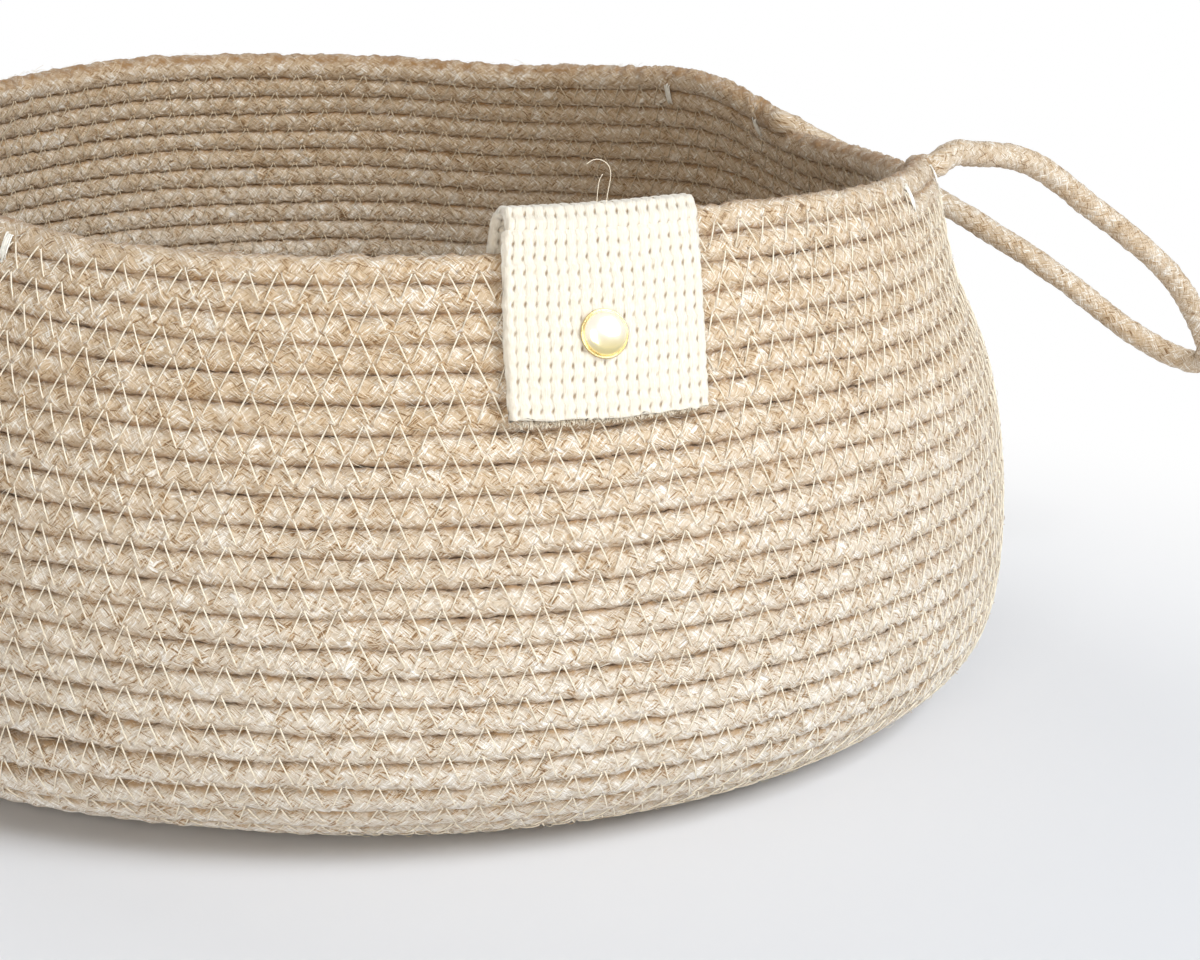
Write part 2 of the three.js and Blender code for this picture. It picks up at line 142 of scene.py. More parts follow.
# Camera first: it stands where the photograph was taken from.
def place_camera():
    eye = Vector((-161.5, -544.0, 207.4)) * MM
    forward = Vector((0.3459, 0.8923, -0.2901)).normalized()
    right = forward.cross(Vector((0.0807, 0.2798, 0.9567))).normalized()
    facing = Matrix((right, right.cross(forward), -forward)).transposed()
    camera = bpy.data.objects.new("camera", bpy.data.cameras.new("camera"))
    camera.data.lens = 80.53
    camera.data.sensor_width = 36
    camera.data.sensor_fit = "HORIZONTAL"
    camera.data.clip_start = 0.01
    camera.matrix_world = Matrix.Translation(eye) @ facing.to_4x4()
    scene.collection.objects.link(camera)
    scene.camera = camera


place_camera()


# Lines and directions.
def unit(vectors):
    return vectors / np.maximum(np.linalg.norm(vectors, axis=-1, keepdims=True), 1e-9)


def smooth(share):
    """A share from 0 to 1 that starts and ends gently."""
    return share * share * (3 - 2 * share)


def turn_about_z(points, angle):
    c, s = math.cos(angle), math.sin(angle)
    return points @ np.array([[c, s, 0], [-s, c, 0], [0, 0, 1]])


def lengths_along(points, power=1):
    steps = np.linalg.norm(np.diff(points, axis=0), axis=1)
    return np.concatenate([[0], np.cumsum(steps**power)])


def spaced(points, spacing):
    """The same line with even points, about `spacing` apart."""
    along = lengths_along(points)
    even = np.linspace(0, along[-1], max(2, round(along[-1] / spacing) + 1))
    return np.stack([np.interp(even, along, column) for column in points.T], -1)


def spline(points, spacing):
    """Even points on a smooth curve through the given ones."""
    points = np.asarray(points, float)
    count = len(points)
    knots = lengths_along(points, KNOT_POWER)
    gaps = np.diff(knots)
    slopes = np.diff(points, axis=0) / gaps[:, None]
    system = np.zeros((count, count))
    right = np.zeros((count, points.shape[1]))
    for i in range(1, count - 1):
        system[i, i - 1 : i + 2] = gaps[i - 1], 2 * (gaps[i - 1] + gaps[i]), gaps[i]
        right[i] = 6 * (slopes[i] - slopes[i - 1])
    system[0, 0] = system[-1, -1] = 1
    bend = np.linalg.solve(system, right)
    at = np.linspace(0, knots[-1], KNOT_STEPS * count)
    i = np.clip(np.searchsorted(knots, at, "right") - 1, 0, count - 2)
    a, b, g = (knots[i + 1] - at)[:, None], (at - knots[i])[:, None], gaps[i][:, None]
    curve = (bend[i] * a**3 + bend[i + 1] * b**3) / (6 * g)
    curve += (points[i] / g - bend[i] * g / 6) * a + (points[i + 1] / g - bend[i + 1] * g / 6) * b
    return spaced(curve, spacing)


# Smooth random values, all from fixed seeds.
def wander(along, wavelength, seed):
    """A smooth random line between about -1 and 1."""
    grid = np.random.default_rng(seed).uniform(-1, 1, GRID)
    at = along / wavelength + FIRST_CELL
    cell = np.floor(at).astype(int)
    share = smooth(at - cell)
    return grid[cell % GRID] * (1 - share) + grid[(cell + 1) % GRID] * share


def uneven(along, *waves):
    """The sum of some random lines, each given as how much, over what length, and its seed."""
    return sum(amount * wander(along, length, seed) for amount, length, seed in waves)


def grain(u, v, around, seed):
    """Smooth random values over u and v, repeating after `around` in v."""
    grid = np.random.default_rng(seed).uniform(-1, 1, (GRID, around))
    i, j = np.floor(u).astype(int), np.floor(v).astype(int)
    a, b = smooth(u - i), smooth(v - j)

    def row(k):
        return grid[i % GRID, k % around] * (1 - a) + grid[(i + 1) % GRID, k % around] * a

    return row(j) * (1 - b) + row(j + 1) * b


# The wall.
def wall_line():
    """The line of the rope's middle: distances from the base's middle, radii, heights and directions."""
    points = []
    for i in range(CURVE_STEPS + 1):
        angle = i / CURVE_STEPS * TURN / 4
        out = math.sin(angle) ** (2 / CORNER_POWER)
        down = math.cos(angle) ** (2 / CORNER_POWER)
        points.append((FLAT_RADIUS + (BELLY_RADIUS - FLAT_RADIUS) * out,
                       BELLY_HEIGHT - (BELLY_HEIGHT - HALF_ROPE) * down))
    rise = RIM_HEIGHT - BELLY_HEIGHT
    over = (rise + ROWS_PAST_RIM * ROW_PITCH) / rise
    for i in range(1, CURVE_STEPS + 1):
        share = i / CURVE_STEPS * over
        radius = BELLY_RADIUS - (BELLY_RADIUS - RIM_RADIUS) * share**2
        points.append((radius, BELLY_HEIGHT + rise * share))
    points = np.array(points)
    lengths = FLAT_RADIUS + lengths_along(points)
    flat = np.arange(0, FLAT_RADIUS, LINE_SPACING)
    even = np.arange(FLAT_RADIUS, lengths[-1], LINE_SPACING)
    radius = np.concatenate([flat, np.interp(even, lengths, points[:, 0])])
    height = np.concatenate([np.full(len(flat), HALF_ROPE), np.interp(even, lengths, points[:, 1])])
    lengths = np.concatenate([flat, even])
    steer = np.unwrap(np.arctan2(np.gradient(height, lengths), np.gradient(radius, lengths)))
    kernel = np.hanning(SMOOTHING_POINTS)
    steer = np.convolve(np.pad(steer, SMOOTHING_POINTS // 2, "edge"), kernel / kernel.sum(), "valid")
    return lengths, radius, height, steer


LINE = wall_line()
RISING = LINE[0] > FLAT_RADIUS
RIM_LENGTH = float(np.interp(RIM_HEIGHT, LINE[2][RISING], LINE[0][RISING]))
START_TURNS = -RIM_LENGTH / ROW_PITCH + START_SHARE


def line_at(length):
    """Radius, height and direction angle of the line at a distance from the base's middle."""
    return tuple(np.interp(length, LINE[0], column) for column in LINE[1:])


def stray_at(angle):
    """How far the rim strays up or down at an angle, smooth all the way round."""
    place = angle / TURN * len(RIM_STRAY_SHARES)
    first = np.floor(place).astype(int)
    t = place - first
    a, b, c, d = (RIM_STRAY_SHARES[(first + k) % len(RIM_STRAY_SHARES)] for k in (-1, 0, 1, 2))
    bend = 2 * a - 5 * b + 4 * c - d
    return RIM_STRAY * (b + t / 2 * (c - a + t * (bend + t * (3 * b - 3 * c + d - a))))


def on_wall(angle, radius, height):
    """Points of an even, round wall, moved to where the real one has them."""
    rise = height / RIM_HEIGHT
    r = radius + RIM_STRETCH * np.cos(angle) ** 2 * rise**2
    z = height + stray_at(angle) * rise
    for where, spread, level, tall, out, up in DENTS:
        off = (np.degrees(angle) - where + 180) % 360 - 180
        share = np.exp(-((off / spread) ** 2) - ((height - level) / tall) ** 2)
        r = r + out * share
        z = z + up * share * np.clip((height - HALF_ROPE) / FOOT_RISE, 0, 1)
    return np.stack([r * np.sin(angle), -r * np.cos(angle), z], -1)


def wall_place(turns, out=0.0, up=0.0):
    """Points beside the middle of the rope, `out` across the wall and `up` along it."""
    turns = np.asarray(turns, float)
    radius, height, steer = line_at(RIM_LENGTH + ROW_PITCH * turns)
    r = radius + out * np.sin(steer) + up * np.cos(steer)
    z = height - out * np.cos(steer) + up * np.sin(steer)
    return on_wall(-TURN * turns, r, z)


def hinge_at(middle):
    """Middle of a handle's hinge line, and half of that line, from its later seat to its earlier one."""
    seats = []
    for turns in (middle + LEAVE_TURNS, middle - LEAVE_TURNS):
        step = math.floor(turns * STEPS_PER_TURN)
        start, end = wall_place(np.array([step, step + 1]) / STEPS_PER_TURN)
        seats.append(start + (end - start) * (turns * STEPS_PER_TURN - step) + [0, 0, HANDLE_SEAT_RISE])
    return (seats[0] + seats[1]) / 2, (seats[1] - seats[0]) / 2


RIGHT_HALF = hinge_at(RIGHT)[1]
RIGHT_OUTWARD = unit(np.array([RIGHT_HALF[1], -RIGHT_HALF[0], 0]))


def outward_at(middle):
    """The way a handle points out from its hinge. The left one is the right one turned about Z."""
    return turn_about_z(RIGHT_OUTWARD, (RIGHT - middle) * TURN)


# Meshes.
def add_object(name, mesh, material, body="basket"):
    mesh.materials.append(material)
    obj = bpy.data.objects.new(name, mesh)
    scene.collection.objects.link(obj)
    if body:
        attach(obj, body)
    return obj


def add_mesh(name, points, quads, material, body="basket", caps=(), uv=None, fields=None):
    """A smooth-shaded object from points in millimetres, turned so that its faces point outwards."""
    points, quads = points.reshape(-1, 3), quads.reshape(-1, 4)
    a, b, c, d = (points[quads[:, k]] for k in range(4))
    turned = np.einsum("ij,ij->i", a, np.cross(b, c) + np.cross(c, d)).sum() < 0
    if turned:
        quads = quads[:, ::-1]
        caps = [cap[::-1] for cap in caps]
    corners = np.concatenate([quads.ravel(), *caps]).astype(np.int32)
    sizes = np.concatenate([np.full(len(quads), 4), [len(cap) for cap in caps]])
    starts = (np.cumsum(sizes) - sizes).astype(np.int32)
    mesh = bpy.data.meshes.new(name)
    mesh.vertices.add(len(points))
    mesh.vertices.foreach_set("co", (points * MM).astype(np.float32).ravel())
    mesh.loops.add(len(corners))
    mesh.loops.foreach_set("vertex_index", corners)
    mesh.polygons.add(len(starts))
    mesh.polygons.foreach_set("loop_start", starts)
    mesh.polygons.foreach_set("use_smooth", np.ones(len(starts), bool))
    mesh.update(calc_edges=True)
    if uv is not None:
        places = uv[:, ::-1] if turned else uv
        places = np.concatenate([places.reshape(-1, 2), np.zeros((len(corners) - 4 * len(quads), 2))])
        mesh.uv_layers.new(name="OFBake").uv.foreach_set("vector", places.astype(np.float32).ravel())
    for key, values in (fields or {}).items():
        kind, part = ("FLOAT", "value") if values.ndim == 1 else ("FLOAT_VECTOR", "vector")
        mesh.attributes.new(key, kind, "POINT").data.foreach_set(part, values.astype(np.float32).ravel())
    mesh.validate()
    return add_object(name, mesh, material, body)


def add_tube(name, points, material, fields, body="basket", uv=None):
    """One closed tube, from rings by sides by 3 points, with a field value for each point."""
    rings, sides = points.shape[:2]
    fields = {key: np.squeeze(values.reshape(rings * sides, -1)) for key, values in fields.items()}
    quads, caps = ring_quads(rings, sides), ring_caps(rings, sides)
    return add_mesh(name, points, quads, material, body, caps, uv, fields)


def ring_quads(rings, sides):
    """The four corners of each face of a tube of rings, as an array of rings - 1 by sides by 4."""
    i, j = np.meshgrid(np.arange(rings - 1), np.arange(sides), indexing="ij")
    k = (j + 1) % sides
    return np.stack([i * sides + j, i * sides + k, (i + 1) * sides + k, (i + 1) * sides + j], -1)


def ring_caps(rings, sides):
    """The corners of a tube's first and last end."""
    return [np.arange(sides)[::-1], (rings - 1) * sides + np.arange(sides)]


def strip_uv(rings, sides, length, girth, room=1.15, margin=0.06, border=0.002):
    """A flat layout of a long tube: strips side by side in a square."""
    count = max(1, round(math.sqrt(girth * room / length) ** -1))
    per = math.ceil((rings - 1) / count)
    i, j = np.meshgrid(np.arange(rings - 1), np.arange(sides), indexing="ij")
    strip = i // per
    u = [(i - strip * per + k) / per for k in (0, 1)]
    v = [(strip + margin + (1 - 2 * margin) * (j + k) / sides) / count for k in (0, 1)]
    uv = np.stack([np.stack([u[a], v[b]], -1) for a, b in ((0, 0), (0, 1), (1, 1), (1, 0))], 2)
    return border + (1 - 2 * border) * uv.reshape(-1, 4, 2)


def add_tubes(name, centres, radius, sides, material, fields=None):
    """Short closed tubes as one object, from tubes by rings by 3 centres, with one field value a tube."""
    centres = np.asarray(centres, float)
    tubes, rings = centres.shape[:2]
    along = unit(np.gradient(centres, axis=1))
    side = unit(np.cross(along, np.broadcast_to([0.13, 0.21, 0.97], along.shape)))
    other = np.cross(along, side)
    angle = (np.arange(sides) / sides * TURN)[:, None]
    ring = np.cos(angle) * side[:, :, None] + np.sin(angle) * other[:, :, None]
    points = centres[:, :, None] + np.broadcast_to(radius, (tubes, rings))[..., None, None] * ring
    first = np.arange(tubes) * rings * sides
    quads = (ring_quads(rings, sides).reshape(1, -1, 4) + first[:, None, None]).reshape(-1, 4)
    caps = np.concatenate([first[:, None] + cap for cap in ring_caps(rings, sides)])
    if sides == 4:
        quads = np.concatenate([quads, caps])
        caps = []
    fields = {key: np.repeat(values, rings * sides) for key, values in (fields or {}).items()}
    return add_mesh(name, points, quads, material, caps=list(caps), fields=fields)


# Materials.
def linear(*colour):
    """A colour with parts from 0 to 255, as the values that the shaders use."""
    return [((c / 255 + 0.055) / 1.055) ** 2.4 if c > 10 else c / 255 / 12.92 for c in colour] + [1.0]


WHITE = linear(255, 255, 255)


class Value:
    """A number, a colour or a surface in a shader. Sums and products of these are added as nodes."""

    def __init__(self, nodes, socket):
        self.nodes = nodes
        self.socket = socket

    def __add__(self, other):
        return self.nodes.math("ADD", self, other)

    def __sub__(self, other):
        return self.nodes.math("SUBTRACT", self, other)

    def __rsub__(self, other):
        return self.nodes.math("SUBTRACT", other, self)

    def __mul__(self, other):
        return self.nodes.math("MULTIPLY", self, other)

    def __truediv__(self, other):
        return self.nodes.math("DIVIDE", self, other)

    def __abs__(self):
        return self.nodes.math("ABSOLUTE", self)


class Nodes:
    """Short ways to add nodes to a material or to the world."""

    def __init__(self, tree):
        self.tree = tree

    def link(self, source, socket):
        if isinstance(source, Value):
            self.tree.links.new(source.socket, socket)
        else:
            socket.default_value = source

    def add(self, kind, inputs=None, **settings):
        node = self.tree.nodes.new(kind)
        for key, value in settings.items():
            setattr(node, key, value)
        for socket, source in (inputs or {}).items():
            self.link(source, node.inputs[socket])
        return node

    def value(self, kind, inputs=None, output=0, **settings):
        return Value(self, self.add(kind, inputs, **settings).outputs[output])

    def math(self, operation, a, b=0.0, clamp=False):
        return self.value("ShaderNodeMath", {0: a, 1: b}, operation=operation, use_clamp=clamp)

    def mix(self, share, a, b):
        """A colour between two others."""
        return self.value("ShaderNodeMix", {0: share, 6: a, 7: b}, 2, data_type="RGBA")

    def either(self, share, a, b):
        """A number between two others."""
        return self.value("ShaderNodeMix", {0: share, 2: a, 3: b}, data_type="FLOAT")

    def vector(self, x, y, z):
        return self.value("ShaderNodeCombineXYZ", {0: x, 1: y, 2: z})

    def split(self, vector):
        return [Value(self, output) for output in self.add("ShaderNodeSeparateXYZ", {0: vector}).outputs]

    def field(self, name):
        """A mesh's own field of numbers."""
        return self.value("ShaderNodeAttribute", output="Fac", attribute_name=name)

    def fields(self, name):
        """A mesh's own field of three numbers."""
        return self.split(self.value("ShaderNodeAttribute", output="Vector", attribute_name=name))

    def place(self):
        return self.value("ShaderNodeTexCoord", output="Object")

    def noise(self, vector, scale, detail=2.0, rough=0.5):
        inputs = {"Vector": vector, "Scale": scale, "Detail": detail, "Roughness": rough}
        return self.value("ShaderNodeTexNoise", inputs, "Fac")

    def step(self, value, low, high):
        """0 below low, 1 above high, smooth between."""
        inputs = {"Value": value, "From Min": low, "From Max": high}
        return self.value("ShaderNodeMapRange", inputs, "Result", interpolation_type="SMOOTHSTEP")

    def ramp(self, value, stops):
        node = self.add("ShaderNodeValToRGB", {0: value})
        elements = node.color_ramp.elements
        while len(elements) < len(stops):
            elements.new(0.5)
        for element, (at, colour) in zip(elements, stops):
            element.position = at
            element.color = colour
        return Value(self, node.outputs[0])

    def white_to_the_eye(self, lit, white, share=1.0):
        """`white` for the camera's own rays, also mirrored or through glass, and `lit` for all others."""
        ray = self.add("ShaderNodeLightPath").outputs
        camera, glossy, through = (Value(self, ray[f"Is {kind} Ray"])
                                   for kind in ("Camera", "Glossy", "Transmission"))
        seen = self.math("MAXIMUM", self.math("MAXIMUM", camera, glossy), through)
        return self.value("ShaderNodeMixShader", {0: seen * share, 1: lit, 2: white})


class Material(Nodes):
    """A material and its main shader."""

    def __init__(self, name, roughness, sheen=0.0):
        self.material = bpy.data.materials.new(name)
        self.material.use_nodes = True
        super().__init__(self.material.node_tree)
        self.shader = self.tree.nodes["Principled BSDF"]
        self.put("Roughness", roughness)
        self.put("Sheen Weight", sheen)
        self.put("Sheen Roughness", 0.6)

    def put(self, name, source):
        self.link(source, self.shader.inputs[name])

    def bump(self, height, strength, distance):
        inputs = {"Strength": strength, "Distance": distance, "Height": height}
        self.put("Normal", self.value("ShaderNodeBump", inputs))


# The braid: strands each way round the rope, and the length of rope over which one crosses the next.
STRANDS = 8
CROSSING = 3.1
# The zigzag: length of one stitch, and the heights of its lower and upper needle holes in their rows.
STITCH = 5.75
NEEDLE_LOW, NEEDLE_HIGH = -0.75, -0.9
# Where the rope isn't sewn, this is added to the heights in its "stitch" field, past the limit.
UNSEWN, UNSEWN_LIMIT = 90, 40


def rope_material():
    n = Material("rope_braid", 0.95, 0.2)
    dark, seam_shade_brown, tan = linear(124, 92, 56), linear(152, 110, 58), linear(178, 144, 102)
    high_main, high_pale = linear(207, 183, 152), linear(250, 243, 232)
    low_main, low_pale = linear(219, 209, 194), linear(250, 246, 240)

    along, cosine, sine = n.fields("lay")
    theta = n.math("ARCTAN2", sine, cosine)
    turned = theta * (STRANDS / 2)
    slide = along * (math.pi / CROSSING)
    one = n.math("SINE", turned + slide)
    two = n.math("SINE", turned - slide)
    over = n.step(one * two, -0.2, 0.2)
    ridge = n.either(over, abs(one), abs(two))
    lean = along * (TURN / (STRANDS * CROSSING))

    core = n.vector(along, cosine * HALF_ROPE, sine * HALF_ROPE)
    fluff = n.noise(core, 1.7, 4, 0.7)
    patch = n.noise(core, 0.32, 2, 0.6)
    bend = (n.noise(core, 0.15, 1) - 0.5) * 0.9

    def drawn_out(angle, long_scale, cross_scale, detail=0):
        """Noise that is long along strands with this angle, and fine across them."""
        across = HALF_ROPE * cross_scale
        cosine, sine = n.math("COSINE", angle), n.math("SINE", angle)
        where = n.vector(along * long_scale, cosine * across, sine * across)
        return n.noise(where, 1.0, detail, 0.6)

    left, right = theta - lean + bend, theta + lean + bend
    fibre = n.either(over, drawn_out(right, 0.17, 3.9, 2), drawn_out(left, 0.17, 3.9, 2))
    yarn = n.either(over, drawn_out(right, 0.08, 0.9, 2), drawn_out(left, 0.08, 0.9, 2))
    shade = (fibre - 0.5) * 2.2 + 0.5
    for part, weight in ((yarn, 1.0), (patch, 1.1), (fluff, 0.9)):
        shade = shade + (part - 0.5) * weight
    # Single pale and brown hairs that cross the strands at steeper and flatter slants.
    steep = theta + lean * 1.9 + bend
    flat = theta - lean * 1.6 - bend * 1.4
    low = theta - lean * 0.35 - bend
    steep_hairs = n.step(drawn_out(steep, 0.14, 5.2), 0.62, 0.76)
    flat_hairs = n.step(drawn_out(flat, 0.16, 4.8), 0.62, 0.76)
    brown_hairs = n.step(drawn_out(low, 0.12, 4.6), 0.64, 0.78)
    shade = shade + n.math("MAXIMUM", steep_hairs, flat_hairs) * 0.4
    shade = n.math("SUBTRACT", shade, brown_hairs * 0.3, clamp=True)
    # The low rows' colours are paler: painted bounce light from the floor, mixed in by a field that grows
    # towards the foot.
    high_body = n.ramp(shade, [(0, dark), (0.2, tan), (0.46, high_main), (0.7, high_main), (1, high_pale)])
    low_body = n.ramp(shade, [(0, dark), (0.17, tan), (0.42, low_main), (0.7, low_main), (1, low_pale)])
    painted_bounce_light = n.field("painted_bounce_light")
    body = n.mix(painted_bounce_light, high_body, low_body)

    # Painted shade: brown between the rows, in patches, where the seams lie in shade. Holes at the
    # stitches' points and creases between strands get painted shade too.
    phase_above, phase_below, rise = n.fields("stitch")
    # Painted shade in the seams between rows, brown and patchy.
    seam = n.step(abs(rise) - fluff * 0.9, 1.1, 2.35) * (n.step(patch, 0.4, 0.62) * 0.65 + 0.3)
    seam = seam * n.math("LESS_THAN", rise, UNSEWN_LIMIT)
    body = n.mix(seam, body, n.mix(painted_bounce_light, seam_shade_brown, tan))

    def holes_at(phase, height):
        off = (n.math("FRACT", phase) - 0.5) * STITCH
        high = rise - height
        return 1.0 - n.step(n.math("SQRT", off * off + high * high), 0.15, 0.6)

    holes = n.math("MAXIMUM", holes_at(phase_above + 0.5, NEEDLE_LOW), holes_at(phase_below, NEEDLE_HIGH))
    crease = 1.0 - n.step(ridge, 0.05, 0.6)
    # Painted shade: a dark colour in the creases between strands and in the needle holes.
    shade_in_creases_and_holes = n.math("ADD", crease * 0.16, holes * (n.step(patch, 0.35, 0.7) * 0.6), clamp=True)
    n.put("Base Color", n.mix(shade_in_creases_and_holes, body, dark))
    n.bump(ridge * 0.3 + fibre * 1.2 + fluff * 0.8 - holes * 0.5, 0.8, 0.0004)
    return n.material


def thread_material(name, colour, roughness=0.6):
    n = Material(name, roughness, 0.2)
    tint = n.step(n.noise(n.place(), 900, 2), 0.35, 0.7)
    n.put("Base Color", n.mix(tint, linear(*[part - 22 for part in colour]), linear(*colour)))
    n.bump(n.noise(n.place(), 4000, 2), 0.3, 0.0001)
    return n.material


def fibre_material():
    n = Material("rope_fibre", 0.8, 0.3)
    shades = [
        (0, linear(168, 134, 92)), (0.3, linear(206, 182, 146)),
        (0.65, linear(236, 222, 196)), (1, linear(248, 240, 224)),
    ]
    n.put("Base Color", n.ramp(n.field("shade"), shades))
    return n.material


rope_look = rope_material()
thread_look = thread_material("cream_thread", (248, 236, 214))
bobbin_look = thread_material("tan_thread", (220, 202, 172))
tack_look = thread_material("white_thread", (250, 246, 236), 0.45)
fibre_look = fibre_material()


# The rope's whole path: base, wall, rim and handles, with its outward and upward directions.
def along_wall(start, end, spacing):
    """Turns at even distances along the wall."""
    fine = np.arange(start, end + 1e-9, 1 / 720)
    fine = np.append(fine, end) if end - fine[-1] > 1e-6 else fine
    length = lengths_along(wall_place(fine))
    even = np.linspace(0, length[-1], max(2, round(length[-1] / spacing) + 1))
    return np.interp(even, length, fine)


def sewn(start, end, spacing):
    """A length of rope that is sewn to the row below it."""
    turns = along_wall(start, end, spacing)
    centres = wall_place(turns)
    out = unit(wall_place(turns, 1) - centres)
    up = unit(wall_place(turns, 0, 1) - centres)
    return SimpleNamespace(turns=turns, centres=centres, out=out, up=up)


def handle_curve(middle):
    """A handle from one end tack round to the other, along the rope's direction."""
    reach, half, drop = RIGHT_OUTWARD * HANDLE_REACH, RIGHT_HALF, np.array([0, 0, HANDLE_DROP])
    route = np.array(HANDLE_ROUTE[::-1]) @ np.array([reach, half, drop])
    route = hinge_at(middle)[0] + turn_about_z(route, (RIGHT - middle) * TURN)
    start, end = middle - END_TACK_TURNS, middle + END_TACK_TURNS
    before = wall_place(start - np.array([9, 6, 3, 0]) / 720)
    leaving = wall_place(start + np.array([2, 4]) / 360)
    meeting = wall_place([middle + LEAVE_TURNS])
    after = wall_place(end + np.array([0, 3, 6, 9]) / 720)
    curve = spline(np.concatenate([before, leaving, route, meeting, after]), LINE_SPACING)
    # The curve is cut at the tacks, which lie within its first and last 100 mm.
    near = round(100 / LINE_SPACING)
    first = np.argmin(np.linalg.norm(curve[:near] - before[-1], axis=1))
    last = len(curve) - near + np.argmin(np.linalg.norm(curve[-near:] - after[0], axis=1))
    return spaced(curve[first : last + 1], LOOP_SPACING)


def free(middle, before, after):
    """The length of rope of a handle, between two sewn lengths."""
    centres = handle_curve(middle)
    along = unit(np.gradient(centres, axis=0))
    # The outward direction is carried along without twist, then the twist that is left is spread out.
    out = [unit(before.out[-1] - along[0] * (before.out[-1] @ along[0]))]
    for direction in along[1:]:
        out.append(unit(out[-1] - direction * (out[-1] @ direction)))
    out = np.array(out)
    up = np.cross(along, out)
    left_over = math.atan2(after.out[0] @ up[-1], after.out[0] @ out[-1])
    twist = (np.linspace(0, 1, len(out)) * left_over)[:, None]
    out = out * np.cos(twist) + up * np.sin(twist)
    centres[0], centres[-1] = before.centres[-1], after.centres[0]
    turns = np.linspace(before.turns[-1], after.turns[0], len(centres))
    return SimpleNamespace(turns=turns, centres=centres, out=out, up=np.cross(along, out))


def rope_path():
    middle = (BELLY_END + MIDDLE_END) / 2
    cuts = [START_TURNS, -WALL_LOOPS, FOOT_END, BELLY_END, middle, MIDDLE_END, LEFT - END_TACK_TURNS]
    names = ["base", "wall_foot", "wall_belly", "wall_middle_low", "wall_middle_high", "wall_top"]
    path = {}
    for name, start, end in zip(names, cuts, cuts[1:]):
        path[name] = sewn(start, end, BASE_SPACING if name == "base" else WALL_SPACING)
    back = sewn(LEFT + END_TACK_TURNS, RIGHT - END_TACK_TURNS, RIM_SPACING)
    front = sewn(RIGHT + END_TACK_TURNS, 1 + ROPE_END_TURNS, RIM_SPACING)
    path["handle_left"] = free(LEFT, path["wall_top"], back)
    path["rim_back"] = back
    path["handle_right"] = free(RIGHT, back, front)
    path["rim_front"] = front
    length = 0.0
    for stretch in path.values():
        stretch.run = lengths_along(stretch.centres) + length
        length = stretch.run[-1]
    return path


PATH = rope_path()
SEAM_TURNS = np.arange(START_TURNS, 1.2, 1 / 360)
SEAM_PHASE = lengths_along(wall_place(SEAM_TURNS, 0, ROW_PITCH / 2)) / STITCH
SEAM_PHASE = SEAM_PHASE + uneven(SEAM_PHASE * STITCH, (0.12, 37, 5))


def seam_phase(turns):
    """How many stitches lie before a place in the seam above the rope."""
    return np.interp(turns, SEAM_TURNS, SEAM_PHASE)


# Angles of the points round the rope's section, closer together on the sides that show.
AROUND = np.radians(np.concatenate([np.arange(-72, 73, 16), [90], np.arange(108, 253, 24), [270]]))
# The rope's section: its squareness, half its thickness across the wall and along it, and how much
# the braid's relief counts along it. Each pair is for sewn rope and for the free rope of a handle.
SQUARENESS = (2.4, 2.05)
HALF_OUT = (2.62, 2.7)
HALF_UP = (2.86, 2.7)
RELIEF_UP = (2.2, 1.0)
GIRTH = 16.5
# Length over which sewn rope turns into free rope.
EASE = 14
# The rope's colour is paler towards the foot: painted light, standing in for the light that the white
# floor throws up onto the lower rows. The handles have the rim's colour.
BOUNCE_LIGHT_HEIGHT, BOUNCE_LIGHT_POWER, HANDLE_BOUNCE_LIGHT = 85, 0.8, 0.05
ROPE_FLOOR, THREAD_FLOOR, FIBRE_FLOOR = 0.04, 0.2, 0.08


def section(theta, power):
    cosine, sine = np.cos(theta), np.sin(theta)
    return np.sign(cosine) * np.abs(cosine) ** (2 / power), np.sign(sine) * np.abs(sine) ** (2 / power)


def braid(along, theta):
    """Height of the braid's strands."""
    one = np.sin(STRANDS / 2 * theta + math.pi / CROSSING * along)
    two = np.sin(STRANDS / 2 * theta - math.pi / CROSSING * along)
    over = np.clip(one * two * 4 + 0.5, 0, 1)
    return np.abs(one) * over + np.abs(two) * (1 - over) - 0.6


